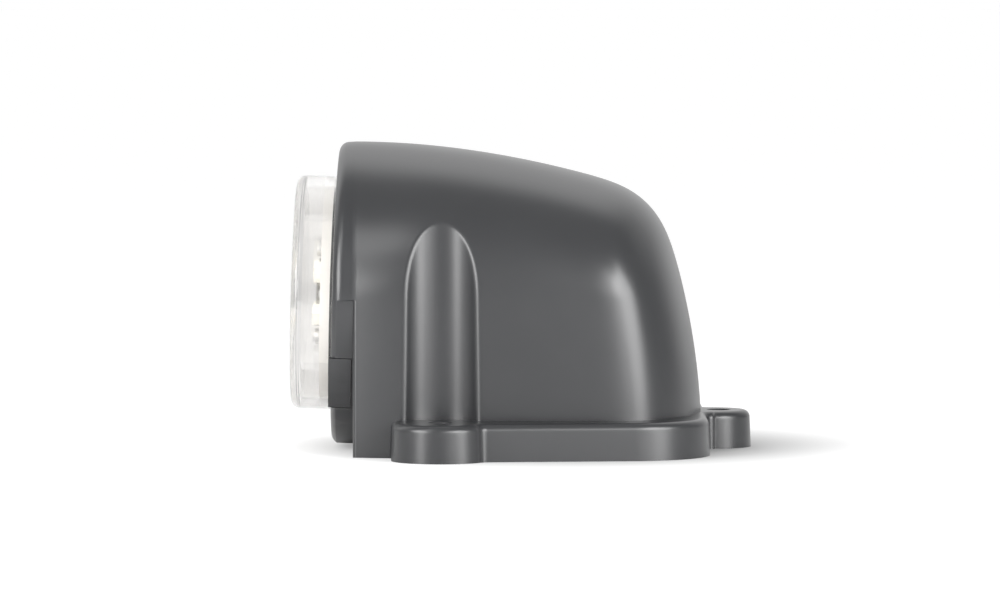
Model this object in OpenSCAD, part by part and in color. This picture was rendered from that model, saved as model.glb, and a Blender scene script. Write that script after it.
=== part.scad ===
// Hooded LED marker lamp: a one-piece moulded hood with three screw ears and,
// plugged into the round rim at its front, a lamp insert under a clear cap.
// Frame: +Z up from the mounting plane, the lens looks to -X, the plane Y = 0
// mirrors the part, and the origin lies midway between the two front screws.

/* [Hood] */
// Height of the rim's lowest point above the mounting plane
rim_lift = 0.5; // [0.2:0.1:3]
// Distance of the rim's front face ahead of the front screws
rim_ahead = 22.6; // [20:0.1:28]
// Backward lean of the rim and the lens, in degrees
rim_lean = 1.6; // [0:0.1:4]
// Distance of the flat skirt front ahead of the front screws
skirt_ahead = 18.2; // [16:0.1:19]
// Distance of the rear wall's foot behind the front screws
rear_foot = 55; // [50:0.5:62]
// Half width of the hood at its foot, beside the front screws
hood_half = 35; // [33.5:0.1:36.5]
// Length over which the hood widens behind the rim
flare_len = 20; // [12:1:30]
// Fall of the roof line over the length of the hood
roof_fall = 14.9; // [8:0.1:18]
// Where the rear end begins to round off, behind the front screws
turn_from = 26.6; // [20:0.1:30]
// Forward bow of the rear wall at its sides
rear_bow = 8; // [4:0.5:12]
// Forward lean of the rear wall where it stops curving
rear_lean = 5.2; // [3:0.1:6]
// Height above the lens axis at which the rear wall stops curving
lean_rise = 6.2; // [2:0.1:10]
// Wall thickness of the moulding
wall = 2.5; // [2:0.1:3]
// Side draft of the hood, in degrees
draft = 1; // [0.5:0.1:2]

/* [Rim] */
// Rounding of the rim's front edge
rim_round = 2.1; // [1:0.1:2.4]
// Diameter of the bore that takes the insert
bore_d = 50.2; // [49:0.1:51]
// Wall of the sleeve around the insert
sleeve_wall = 2.5; // [2:0.1:3]
// Room for the latch fingers between the sleeve and the rim's wall
finger_room = 2; // [1.8:0.05:3]
// Depth of the sleeve behind the rim's face
sleeve_depth = 9.5; // [8.5:0.1:12]
// Relief of the rim's lower half against the skirt
rim_relief = 0.25; // [0.1:0.05:0.5]
// Depth of the two lug notches in the rim
notch_depth = 4.5; // [3.5:0.1:5]
// Height of a lug notch
notch_h = 10.9; // [8:0.1:12]
// Distance of the notch's lower edge below the lens axis
notch_drop = 23; // [22:0.1:24]
// Distance of the notches' inner ends from the middle plane
notch_side = 12; // [11:0.1:13]

/* [Screw ears] */
// Distance between the two front screws
screw_span = 79; // [77.5:0.1:81]
// Distance of the rear screw behind the front screws
rear_screw = 58.6; // [58:0.1:60]
// Diameter of the screw holes
hole_d = 4.8; // [4:0.1:5.4]
// Radius of a front ear
ear_r = 10.1; // [9.8:0.05:10.4]
// Distance from a front screw out to the centre of its ear
ear_shift = 0.8; // [0.4:0.1:1.2]
// Radius of the screwdriver channel above a front ear
channel_r = 9; // [8:0.1:9.2]
// Rounding of the channel's edges
channel_round = 1.8; // [1:0.1:2.4]
// Radius of the rear ear
tongue_r = 8.2; // [7.8:0.1:9]
// Distance of the rear ear's tip behind the rear screw
tongue_edge = 6.9; // [6.4:0.1:7.4]

/* [Flange] */
// Height of the flange and the ears
flange_h = 7.8; // [6:0.1:9]
// Rounding of the flange's upper edge
flange_round = 1.5; // [0.8:0.1:2]
// Distance of the flange's rear edge behind the front screws
flange_rear = 56.1; // [55.8:0.1:58]
// Half width of the flange beside the rear corner
flange_half = 41.9; // [41:0.1:42.6]
// Angle at which the flange's sides close in towards the rear
side_angle = 6; // [3:0.5:7]
// Radius of the flange's rear corners
corner_r = 18; // [15:0.5:20]
// Rounding where the ears join
ear_blend = 2; // [1.5:0.1:2.6]
// Rounding where the rear ear joins
tongue_blend = 1.2; // [0.8:0.1:2]
// Wall of the flange's hollow underside
rim_wall = 2.2; // [1.8:0.1:2.6]
// Skin above the flange's hollow underside
top_skin = 2.4; // [2:0.1:3]
// Radius of the screw bosses
boss_r = 4.6; // [4:0.1:5]
// Thickness of the ribs under the ears
rib_t = 1.6; // [1.2:0.1:2]
// Angle of the ribs beside a front screw boss
ear_rib_angle = 35; // [25:1:45]
// Distance of the first cross rib behind the front screws
cross_rib = 18; // [14:0.5:20]
// Distance between the two cross ribs
cross_rib_step = 16; // [12:0.5:18]

/* [Lens] */
// Step from the insert's body in to the clear cap
lens_step = 0.2; // [0.1:0.05:0.5]
// Distance of the cap's front ahead of the rim's face
lens_proud = 8.8; // [7:0.1:11]
// Thickness of the cap's wall
lens_wall = 2.2; // [1.8:0.1:2.4]
// Rounding of the cap's front edge
lens_round = 1.8; // [1:0.1:2.2]
// Depth to which the cap's skirt reaches behind the rim's face
lens_depth = 1.5; // [1:0.1:2.5]
// Thickness of the seal under the cap's skirt
seal_t = 0.8; // [0.6:0.1:1.2]

/* [Insert] */
// Clearance between the insert's body and the bore
insert_gap = 0.2; // [0.1:0.05:0.4]
// Depth of the insert's body behind the rim's face
insert_depth = 9; // [8.5:0.1:10]
// Wall of the insert's body
insert_wall = 2.2; // [1.8:0.1:2.4]
// Floor of the insert's body
insert_floor = 2.2; // [2:0.1:3]
// Thickness of the O-ring around the insert
oring_t = 1.6; // [1.2:0.1:2]
// Width of a latch finger
finger_w = 6; // [4:0.1:7]
// Thickness of a latch finger
finger_t = 1.2; // [1:0.1:1.4]
// Distance by which a lug stands ahead of the rim's face
lug_proud = 0.4; // [0.2:0.1:0.8]
// Radius of the two screw posts
post_r = 2.4; // [2:0.1:3]

/* [Light unit] */
// Clearance of the white reflector plate inside the cap
plate_gap = 0.2; // [0.1:0.05:0.5]
// Thickness of the reflector plate
reflector_t = 2; // [1.6:0.1:2.4]
// Depth of the dish in the reflector plate
dish_depth = 0.4; // [0.2:0.1:0.8]
// Width of the flat ring between the board and the dish
dish_margin = 1.4; // [1:0.1:2]
// Run of the dish's inner slope
dish_slope = 0.5; // [0.3:0.1:0.8]
// Width of the plate's raised outer edge
plate_edge = 1.6; // [1:0.1:2]
// Height of the reflector's front above the rim's face
reflector_z = 2.7; // [2.4:0.1:3.2]
// Diameter of the circuit board
board_d = 23; // [21:0.1:25]
// Thickness of the circuit board
board_t = 1.2; // [1:0.1:1.6]
// Height by which the board stands out of the reflector
board_proud = 0.3; // [0.2:0.1:0.6]
// Distance of each board screw from the lens axis
board_screw_r = 9.3; // [8.8:0.1:9.5]
// Radius of the board screws' shanks
shank_r = 0.95; // [0.8:0.05:1.1]
// Radius of the board screws' heads
head_r = 1.7; // [1.4:0.1:1.9]
// Height of the board screws' heads
head_h = 1.2; // [0.8:0.1:1.6]
// Length of a board screw in its post
screw_bite = 1.2; // [0.8:0.1:2]
// Width of the cross slot in a screw's head
slot_w = 0.4; // [0.3:0.05:0.5]
// Long side of a light emitting diode
led_long = 3.5; // [3:0.1:4]
// Short side of a light emitting diode
led_short = 2.8; // [2:0.1:3]
// Height of a light emitting diode
led_h = 1.7; // [1.2:0.1:2]
// Distance of the diodes from the lens axis
led_ring = 6.3; // [6:0.1:6.6]
// Radius of the yellow window in a diode
window_r = 1.15; // [0.9:0.05:1.2]
// Depth of the yellow window
window_t = 0.3; // [0.2:0.05:0.4]
// Long side of the driver chip
chip_long = 5; // [4:0.1:5.6]
// Short side of the driver chip
chip_short = 3.9; // [3.4:0.1:4.2]
// Height of the driver chip
chip_h = 1; // [0.8:0.1:1.6]
// Width of a leg of the driver chip
leg_w = 0.4; // [0.3:0.05:0.5]
// Length by which a leg stands out of the chip's case
leg_l = 0.4; // [0.3:0.05:0.6]
// Height of the legs
leg_h = 0.3; // [0.2:0.05:0.4]
// Gap below the chip's case
chip_lift = 0.1; // [0.05:0.05:0.2]
// Distance of the capacitor from the lens axis
cap_place = 5.8; // [5.6:0.1:6]
// Radius of the capacitor
cap_r = 1.3; // [1:0.1:1.4]
// Height of the capacitor
cap_h = 1.5; // [1:0.1:2]
// Distance of the resistors from the lens axis
resistor_place = 5.7; // [5.6:0.1:5.8]
// Distance between the middles of the two resistors
resistor_pitch = 2.2; // [2:0.1:2.4]
// Length of a resistor
resistor_l = 3.2; // [2.6:0.1:3.4]
// Width of a resistor
resistor_w = 1.6; // [1.2:0.1:1.8]
// Height of a resistor
resistor_h = 0.6; // [0.5:0.05:0.8]

// Height of a solder joint
solder_h = 0.5; // [0.3:0.05:0.7]
// Radius of a solder joint's foot
solder_foot = 1.2; // [0.9:0.05:1.3]
// Radius of a solder joint's tip
solder_tip = 0.5; // [0.3:0.05:0.7]

/* [Terminals] */
// Distance of each terminal from the lens axis
blade_off = 6; // [5.5:0.1:7]
// Width of a terminal blade
blade_w = 6.3; // [4.8:0.1:6.5]
// Thickness of a terminal blade
blade_t = 0.8; // [0.6:0.05:1]
// Length of a terminal blade behind the insert's floor
blade_len = 8; // [6:0.1:9]
// Length of a terminal's foot along the floor
foot_l = 5.5; // [5:0.1:6]
// Radius of the latch hole in a blade
latch_hole_r = 0.9; // [0.6:0.05:1.1]
// Size of the cut corners at a blade's tip
tip_cut = 0.7; // [0.4:0.05:1]
// Radius of the rivets
rivet_r = 1.1; // [0.9:0.05:1.2]
// Distance by which a rivet's head stands out around its shank
rivet_lip = 0.6; // [0.4:0.05:0.7]
// Margin between a rivet's head and the end of the terminal's foot
rivet_edge = 0.2; // [0.1:0.05:0.4]
// Thickness of a rivet's heads
rivet_head = 0.7; // [0.5:0.05:0.9]
// Radius of the short leads
lead_r = 0.7; // [0.5:0.05:0.9]
// Wall of the plug shroud
shroud_wall = 1.4; // [1.2:0.1:1.8]
// Room that the plug shroud leaves around the rivets and past the blades
shroud_room = 0.8; // [0.6:0.1:1]

/* [Fits] */
// Clearance between rigid pieces that plug together
fit = 0.15; // [0.1:0.05:0.2]
// Clearance around small parts seated in recesses
small_fit = 0.05; // [0.03:0.01:0.1]

/* [Hidden] */
$fn = 64;
// Extra reach of a cutting solid beyond the face that it opens
over = 1;

bore_r = bore_d / 2;
sleeve_r = bore_r + sleeve_wall;
core_r = sleeve_r + finger_room;
rim_r = core_r + wall;
rim_z = rim_lift + rim_r;
rim_top = rim_z + rim_r;
skirt_x = -skirt_ahead;
screw_y = screw_span / 2;
hood_len = rear_foot + skirt_ahead;
draft_tan = tan(draft);
front_half = rim_r + draft_tan * rim_z;
seat_r = bore_r - insert_gap;

// Hood surface
lean_z = rim_z + lean_rise;
// Exponents of the arch at the rim and behind it, of the rear end, and of the roof line
arch_front = 2;
arch_mid = 2.25;
turn_power = 5;
roof_power = 1.9;
// Distance at which the skin stops short of the rear wall's tip
tip_gap = 0.02;

// Smooth step from 0 to 1
function ease(t) = let (c = max(0, min(1, t))) c * c * (3 - 2 * c);
// Half width of the hood at its foot, by station along X
function foot_half(x) =
    hood_half - (hood_half - front_half) * pow(max(0, 1 - (x - skirt_x) / flare_len), 2);
// Roof line above the mounting plane, before the rear end rounds off
function roof_z(x) = rim_top - roof_fall * pow(max(0, (x - skirt_x) / hood_len), roof_power);
// Station of the rear wall on the centre line, by height
function rear_x(z) =
    let (c = rear_lean / (lean_z * lean_z))
    rear_foot - (z < lean_z ? c * z * z : c * lean_z * (2 * z - lean_z));
// Exponent of the arch: a circle at the rim, slightly squarer behind it
function arch_power(x) = arch_front + (arch_mid - arch_front) * ease((x - skirt_x) / flare_len);

// Value that is 1 on the skin and less inside it, for a share s of the half width
function skin_value(x, z, s, t) =
    let (p = arch_power(x))
    let (rise = max(0, (z - rim_z) / (roof_z(x) - t - rim_z)))
    let (arch = pow(pow(s, p) + pow(rise, p), 1 / p))
    let (back = rear_x(z) - t - rear_bow * s * s)
    let (turn = max(0, (x - turn_from) / max(0.1, back - turn_from)))
    pow(arch, turn_power) + pow(turn, turn_power);
// Share of the half width at which the skin lies, by halving
function skin_share(x, z, t, lo = 0, hi = 1, n = 18) =
    n == 0 ? (lo + hi) / 2
    : let (mid = (lo + hi) / 2)
      skin_value(x, z, mid, t) > 1 ? skin_share(x, z, t, lo, mid, n - 1)
      : skin_share(x, z, t, mid, hi, n - 1);
// Height of the skin on the centre line, by halving
function skin_top(x, t, lo = 0, hi = rim_top, n = 18) =
    n == 0 ? (lo + hi) / 2
    : let (mid = (lo + hi) / 2)
      skin_value(x, mid, 0, t) > 1 ? skin_top(x, t, lo, mid, n - 1)
      : skin_top(x, t, mid, hi, n - 1);
// Half width of the skin at a station and height, t inside the outer face
function skin_half(x, z, t) = skin_share(x, z, t) * (foot_half(x) - t - draft_tan * z);
// The same half width with the rounded channel above the front screw cut in
function channelled(w, x) =
    let (r = channel_r, f = channel_round, a = abs(x))
    let (far = screw_y - w + f)
    far >= r + f ? w
    : let (dx = sqrt((r + f) * (r + f) - far * far), touch = dx * r / (r + f))
      a >= dx ? w
      : a >= touch ? w - f + sqrt(max(0, f * f - (a - dx) * (a - dx)))
      : screw_y - sqrt(r * r - a * a);

// Stations along X: even steps from a to b without the last
function steps(a, b, n) = [for (i = [0:n - 1]) a + (b - a) * i / n];
// Stations that close in on the end b
function closing(a, b, n) = [for (i = [0:n]) a + (b - a) * sin(90 * i / n)];
// One arch of the skin from the +Y foot over the roof to the -Y foot
function arch_points(x, z0, t, m, cut) =
    let (h = skin_top(x, t))
    let (half = [
        for (j = [0:m])
        let (z = z0 + (h - z0) * sin(90 * j / m))
        let (w = j == m ? 0 : skin_half(x, z, t))
        [x, cut ? channelled(w, x) : w, z]
    ])
    concat(half, [for (j = [m - 1:-1:0]) [x, -half[j][1], half[j][2]]]);

// Solid under a row of arches, closed by flat ends and a flat foot
module arch_solid(stations, z0, t, m, cut) {
    n = len(stations);
    c = 2 * m + 1;
    rows = [for (x = stations) arch_points(x, z0, t, m, cut)];
    points = [for (row = rows) for (p = row) p];
    sides = [
        for (i = [0:n - 2]) for (j = [0:c - 2]) each [
            [i * c + j, (i + 1) * c + j, i * c + j + 1],
            [i * c + j + 1, (i + 1) * c + j, (i + 1) * c + j + 1]
        ]
    ];
    front = [for (j = [0:c - 1]) j];
    back = [for (j = [c - 1:-1:0]) (n - 1) * c + j];
    foot = concat([for (i = [0:n - 1]) i * c + c - 1], [for (i = [n - 1:-1:0]) i * c]);
    polyhedron(points = points, faces = concat(sides, [front], [back], [foot]), convexity = 6);
}

reach = channel_r + channel_round;
last_x = rear_foot - tip_gap;
outer_stations = concat(
    steps(skirt_x, -reach, 5),
    steps(-reach, reach, 28),
    steps(reach, turn_from, 5),
    closing(turn_from, last_x, 16)
);
inner_x = skirt_x + wall;
inner_stations = concat(steps(inner_x, turn_from, 12), closing(turn_from, last_x - wall, 9));

// Flange outline
// Points of an arc about a centre
function arc(cx, cy, r, a0, a1, n) = [
    for (i = [0:n]) let (a = a0 + (a1 - a0) * i / n) [cx + r * cos(a), cy + r * sin(a)]
];
tongue_x = rear_screw + tongue_edge - tongue_r;
corner_x = flange_rear - corner_r;
corner_y = flange_half - corner_r;
side_turn = 90 - side_angle;
// Depth to which the ear's front blend ends inside the hood
ear_sink = 0.45;
// Side line of the flange: distance of a point outside it
function side_gap(x, y) = (x - corner_x) * cos(side_turn) + (y - corner_y) * sin(side_turn) - corner_r;
// Centre of a front ear
ear_y = screw_y + ear_shift;
ear_gap = -side_gap(0, ear_y);
// Left half of the outline, moved inwards by d, from the rear tip forward
function half_outline(d) =
    let (tb = tongue_blend, eb = ear_blend)
    // Fillet between the rear ear and the rear edge
    let (bx = flange_rear + tb)
    let (by = sqrt(pow(tongue_r + tb, 2) - pow(bx - tongue_x, 2)))
    let (ba = atan2(by, bx - tongue_x))
    // Fillet between the flange's side and the front ear
    let (ea = acos((eb + ear_gap) / (ear_r + eb)))
    let (fa = side_turn - ea)
    let (fx = (ear_r + eb) * cos(fa), fy = ear_y + (ear_r + eb) * sin(fa))
    // Fillet between the front ear and the hood
    let (gx = -ear_r - eb, gy = foot_half(gx) + eb - ear_sink)
    concat(
        arc(tongue_x, 0, tongue_r - d, 0, ba, 8),
        arc(bx, by, tb + d, 180 + ba, 180, 5),
        arc(corner_x, corner_y, corner_r - d, 0, side_turn, 9),
        arc(fx, fy, eb + d, side_turn - 180, fa - 180, 4),
        arc(0, ear_y, ear_r - d, fa, 180, 16),
        arc(gx, gy, eb + d, 0, -90, 4),
        [[gx, hood_half - 2 * wall]]
    );
function outline(d) =
    let (half = half_outline(d), n = len(half))
    concat(half, [for (i = [n - 1:-1:1]) [half[i][0], -half[i][1]]]);

// Solid through a stack of outlines, each given as [height, inset]
module outline_solid(levels) {
    rows = [for (l = levels) [for (p = outline(l[1])) [p[0], p[1], l[0]]]];
    c = len(rows[0]);
    n = len(levels);
    points = [for (row = rows) for (p = row) p];
    sides = [
        for (i = [0:n - 2]) for (j = [0:c - 1]) let (k = (j + 1) % c) each [
            [i * c + j, (i + 1) * c + j, i * c + k],
            [(i + 1) * c + j, (i + 1) * c + k, i * c + k]
        ]
    ];
    foot = [for (j = [0:c - 1]) j];
    top = [for (j = [c - 1:-1:0]) (n - 1) * c + j];
    polyhedron(points = points, faces = concat(sides, [foot], [top]), convexity = 6);
}

flange_draft = tan(2.5);
straight_h = flange_h - flange_round;
flange_levels = concat(
    [[0, 0]],
    [for (a = [0:18:90]) [
        straight_h + flange_round * sin(a),
        flange_draft * straight_h + flange_round * (1 - cos(a))
    ]]
);
// Foot outline of the hood's outer skin
function foot_outline() =
    let (half = [for (x = outer_stations) [x, channelled(skin_half(x, 0, 0), x)]])
    concat(half, [for (i = [len(half) - 1:-1:0]) [half[i][0], -half[i][1]]]);

// Lamp axis
// Places children on the lens axis: local Z looks forward, local X up
module on_axis() {
    translate([-rim_ahead, 0, rim_z]) rotate([0, rim_lean - 90, 0]) children();
}
// Ring about the local axis between two heights
module tube(r_in, r_out, z0, z1) {
    translate([0, 0, z0]) difference() {
        cylinder(h = z1 - z0, r = r_out, $fn = 128);
        translate([0, 0, -over]) cylinder(h = z1 - z0 + 2 * over, r = r_in, $fn = 128);
    }
}
lug_low = -notch_drop;
lug_high = -notch_drop + notch_h;
lug_mid = (lug_low + lug_high) / 2;
// Direction of a lug's middle, seen from the lens axis
lug_turn = 180 - asin(sqrt(1 - pow(lug_mid / core_r, 2)));
// Radius to which the lugs reach, level with the rim's lower half
lug_out = rim_r - rim_relief;

// Housing
// Rounded front edge of the rim, as a profile across its wall
module rim_edge() {
    difference() {
        translate([rim_r - rim_round, -rim_round]) square([rim_round + over, rim_round + over]);
        translate([rim_r - rim_round, -rim_round]) circle(r = rim_round, $fn = 48);
    }
}
// Length over which the rim reaches into the skirt
rim_bite = 1.2;
rim_back = skirt_ahead - rim_ahead - rim_bite;
// Round rim with its front plate and the sleeve that guides the insert
module rim() {
    difference() {
        on_axis() rotate_extrude($fn = 128) difference() {
            union() {
                translate([bore_r, -wall]) square([rim_r - bore_r, wall]);
                translate([core_r, rim_back]) square([rim_r - core_r, -rim_back]);
                translate([bore_r, -sleeve_depth]) square([sleeve_wall, sleeve_depth]);
            }
            rim_edge();
        }
        rim_relief_cut();
        on_axis() for (s = [-1, 1]) lug_notch(s, 0, -notch_depth, over);
    }
}
// Thin shell taken off the rim's lower half ahead of the skirt
module rim_relief_cut() {
    intersection() {
        on_axis() tube(rim_r - rim_relief, rim_r + over, -rim_ahead, over);
        translate([skirt_x - rim_ahead, -rim_r - 2 * over, rim_z - rim_r - 2 * over])
            cube([rim_ahead, 2 * rim_r + 4 * over, rim_r + 2 * over]);
    }
}
// Notch for one lug, open to the front of the rim
module lug_notch(side, room, z0, z1) {
    y = side > 0 ? notch_side : -notch_side - rim_r;
    translate([lug_low - room, y, z0]) cube([notch_h + 2 * room, rim_r, z1 - z0]);
}
// Ribs that tie a screw boss to the ear around it
module boss_ribs(reach_r, angles) {
    cylinder(h = flange_h, r = boss_r);
    for (a = angles) rotate([0, 0, a]) translate([0, -rib_t / 2, 0]) cube([reach_r, rib_t, flange_h]);
}
module underside_pockets() {
    difference() {
        translate([0, 0, -over]) linear_extrude(height = flange_h - top_skin + over) difference() {
            polygon(outline(rim_wall));
            polygon(foot_outline());
        }
        translate([0, 0, -over / 2]) {
            for (s = [-1, 1]) translate([0, s * screw_y, 0])
                boss_ribs(ear_r, [s * ear_rib_angle, 180 - s * ear_rib_angle]);
            translate([flange_rear - rim_wall, -tongue_r, 0]) cube([2 * tongue_r, 2 * tongue_r, flange_h]);
            for (s = [-1, 1]) for (x = [cross_rib, cross_rib + cross_rib_step])
                translate([x, s > 0 ? 0 : -screw_y, 0]) cube([rib_t, screw_y, flange_h]);
        }
    }
}
module cavity() {
    difference() {
        arch_solid(inner_stations, -over, wall, 12, false);
        for (s = [-1, 1]) translate([0, s * screw_y, -2 * over])
            cylinder(h = rim_top, r = channel_r + wall, $fn = 48);
    }
}
// Moulded shell of the hood with its flange, as one closed skin
module hood_shell() {
    resize([0, 0, 0]) difference() {
        union() {
            arch_solid(outer_stations, 0, 0, 24, true);
            outline_solid(flange_levels);
        }
        cavity();
        underside_pockets();
    }
}
module housing() {
    color("#2b2c2e") {
        difference() {
            hood_shell();
            on_axis() translate([0, 0, -2 * sleeve_depth]) cylinder(h = 2 * sleeve_depth, r = core_r, $fn = 128);
            for (s = [-1, 1]) translate([0, s * screw_y, -over])
                cylinder(h = flange_h + 2 * over, d = hole_d);
            translate([rear_screw, 0, -over]) cylinder(h = flange_h + 2 * over, d = hole_d);
        }
        rim();
    }
}

// Insert
lens_r = seat_r - lens_step;
lens_in = lens_r - lens_wall;
seal_z = -lens_depth - seal_t;
floor_z = -insert_depth;
inside_z = floor_z + insert_floor;
reflector_r = lens_in - plate_gap;
reflector_back = reflector_z - reflector_t;
board_r = board_d / 2;
board_top = reflector_z + board_proud;
board_back = board_top - board_t;
groove_z = (seal_z + floor_z) / 2;

module lens() {
    color("#eef4f6", 0.4) on_axis() rotate_extrude($fn = 128) difference() {
        union() {
            translate([0, -lens_depth]) square([lens_r, lens_depth + lens_proud - lens_round]);
            translate([0, -lens_depth]) square([lens_r - lens_round, lens_depth + lens_proud]);
            intersection() {
                translate([lens_r - lens_round, lens_proud - lens_round]) circle(r = lens_round);
                square([lens_r, lens_proud]);
            }
        }
        translate([0, -lens_depth - over]) square([lens_in, lens_depth + over + lens_proud - lens_wall]);
    }
}
module lens_seal() {
    color("#1b1b1c") on_axis() tube(lens_in + small_fit, lens_r - lens_step, seal_z, -lens_depth);
}
module insert_oring() {
    color("#1b1b1c") on_axis() translate([0, 0, groove_z]) rotate_extrude($fn = 128)
        translate([bore_r - oring_t / 2 - small_fit, 0]) circle(d = oring_t);
}
// Terminals: blades stand across Y, feet lie inwards on the floor
slot_y = blade_off;
rivet_head_r = rivet_r + rivet_lip;
rivet_y = blade_off + blade_t / 2 + foot_l - rivet_head_r - rivet_edge;
module insert_body() {
    color("#202123") on_axis() difference() {
        union() {
            tube(seat_r - insert_wall, seat_r, floor_z, seal_z);
            translate([0, 0, floor_z]) cylinder(h = insert_floor, r = seat_r, $fn = 128);
            // Collar that carries the reflector
            tube(reflector_r - insert_wall, reflector_r, inside_z, reflector_back);
            for (s = [-1, 1]) translate([s * board_screw_r, 0, inside_z])
                cylinder(h = reflector_back - inside_z, r = post_r);
            // Lugs in the rim's notches
            for (s = [-1, 1]) {
                intersection() {
                    lug_notch(s, -fit, -notch_depth + fit, lug_proud);
                    union() {
                        tube(seat_r - insert_wall / 2, lug_out, -notch_depth, seal_z);
                        tube(lens_r + fit, lug_out, seal_z - over / 2, lug_proud);
                    }
                }
                latch_finger(s);
            }
            plug_shroud();
        }
        // Groove for the O-ring
        tube(bore_r - oring_t - 2 * small_fit, seat_r + over, groove_z - oring_t / 2 - small_fit,
            groove_z + oring_t / 2 + small_fit);
        for (s = [-1, 1]) {
            translate([s * board_screw_r, 0, inside_z + over / 2])
                cylinder(h = reflector_back - inside_z, r = shank_r + small_fit);
            translate([-blade_w / 2 - small_fit, s * slot_y - blade_t / 2 - small_fit, floor_z - over])
                cube([blade_w + 2 * small_fit, blade_t + 2 * small_fit, insert_floor + 2 * over]);
            translate([0, s * rivet_y, floor_z - over])
                cylinder(h = insert_floor + 2 * over, r = rivet_r + small_fit);
        }
    }
}
// Spring finger behind a lug, with a barb under the sleeve's rear edge
module latch_finger(s) {
    finger_in = sleeve_r + fit + insert_gap;
    rotate([0, 0, s * lug_turn]) {
        translate([finger_in, -finger_w / 2, -sleeve_depth - fit - finger_t])
            cube([finger_t, finger_w, sleeve_depth + fit + finger_t - notch_depth + over]);
        translate([finger_in - finger_t, -finger_w / 2, -sleeve_depth - fit - finger_t])
            cube([finger_t + small_fit, finger_w, finger_t]);
    }
}
module plug_shroud() {
    room_x = blade_w + 3 * shroud_room;
    room_y = 2 * (rivet_y + rivet_head_r + shroud_room);
    depth = blade_len + shroud_room;
    translate([0, 0, floor_z - depth]) difference() {
        translate([-room_x / 2 - shroud_wall, -room_y / 2 - shroud_wall, 0])
            cube([room_x + 2 * shroud_wall, room_y + 2 * shroud_wall, depth + small_fit]);
        translate([-room_x / 2, -room_y / 2, -over]) cube([room_x, room_y, depth + over]);
    }
}
module reflector() {
    color("#f4f4f2") on_axis() difference() {
        translate([0, 0, reflector_back]) cylinder(h = reflector_t, r = reflector_r, $fn = 128);
        // Seat of the board
        translate([0, 0, board_back]) cylinder(h = board_t + over, r = board_r + small_fit, $fn = 96);
        // Shallow dish around the board
        translate([0, 0, reflector_z - dish_depth])
            rotate_extrude($fn = 128) polygon([
                [board_r + dish_margin, 0],
                [reflector_r - plate_edge - 2 * dish_slope, 0],
                [reflector_r - plate_edge, dish_depth + over],
                [board_r + dish_margin - dish_slope, dish_depth + over]
            ]);
        for (s = [-1, 1]) {
            translate([s * board_screw_r, 0, -over]) cylinder(h = reflector_z + over, r = shank_r + small_fit);
            translate([0, s * lead_y, -over]) cylinder(h = reflector_z + over, r = lead_r + 2 * small_fit);
        }
    }
}

// Light unit
lead_y = blade_off + lead_r;
// Diodes: number and angle of the first
led_count = 4;
led_turn = 45;
module board() {
    color("#cfd6cf") on_axis() translate([0, 0, board_back]) difference() {
        cylinder(h = board_t, r = board_r, $fn = 96);
        for (s = [-1, 1]) translate([s * board_screw_r, 0, -over])
            cylinder(h = board_t + 2 * over, r = shank_r + small_fit);
    }
}
// Length of the slots across a screw's head
slot_l = head_r * 1.2;
module board_screws() {
    color("#b9bcbf") on_axis() for (s = [-1, 1]) translate([s * board_screw_r, 0, board_top]) {
        difference() {
            cylinder(h = head_h, r = head_r);
            for (a = [0, 90]) rotate([0, 0, a]) translate([-slot_l / 2, -slot_w / 2, head_h / 2])
                cube([slot_l, slot_w, head_h]);
        }
        translate([0, 0, -board_t - reflector_t - screw_bite])
            cylinder(h = board_t + reflector_t + screw_bite + head_h / 4, r = shank_r);
    }
}
// Places children on each diode's spot, long side along the ring
module at_leds() {
    for (i = [0:led_count - 1]) rotate([0, 0, led_turn + i * 360 / led_count])
        translate([led_ring, 0, board_top]) children();
}
module leds() {
    color("#f6f3e6") on_axis() at_leds() difference() {
        translate([-led_short / 2, -led_long / 2, 0]) cube([led_short, led_long, led_h]);
        translate([0, 0, led_h - window_t]) cylinder(h = window_t + over, r = window_r + small_fit);
    }
}
module led_windows() {
    color("#f0c93c") on_axis() at_leds() translate([0, 0, led_h - window_t]) cylinder(h = window_t, r = window_r);
}
module driver_chip() {
    color("#26272a") on_axis() {
        translate([-chip_long / 2, -chip_short / 2 + leg_l, board_top + chip_lift])
            cube([chip_long, chip_short - 2 * leg_l, chip_h]);
        for (i = [-1.5:1:1.5]) translate([i * chip_long / 4 - leg_w / 2, -chip_short / 2, board_top])
            cube([leg_w, chip_short, leg_h]);
    }
}
module capacitor() {
    color("#33353a") on_axis() translate([-cap_place, 0, board_top]) cylinder(h = cap_h, r = cap_r);
}
module resistors() {
    color("#3a3733") on_axis() for (s = [-1, 1])
        translate([resistor_place - resistor_l / 2, (s * resistor_pitch - resistor_w) / 2, board_top])
            cube([resistor_l, resistor_w, resistor_h]);
}
module solder_joints() {
    color("#c9ccd0") on_axis() for (s = [-1, 1]) translate([0, s * lead_y, board_top])
        cylinder(h = solder_h, r1 = solder_foot, r2 = solder_tip);
}

// Terminals
foot_top = inside_z + blade_t;
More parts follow.
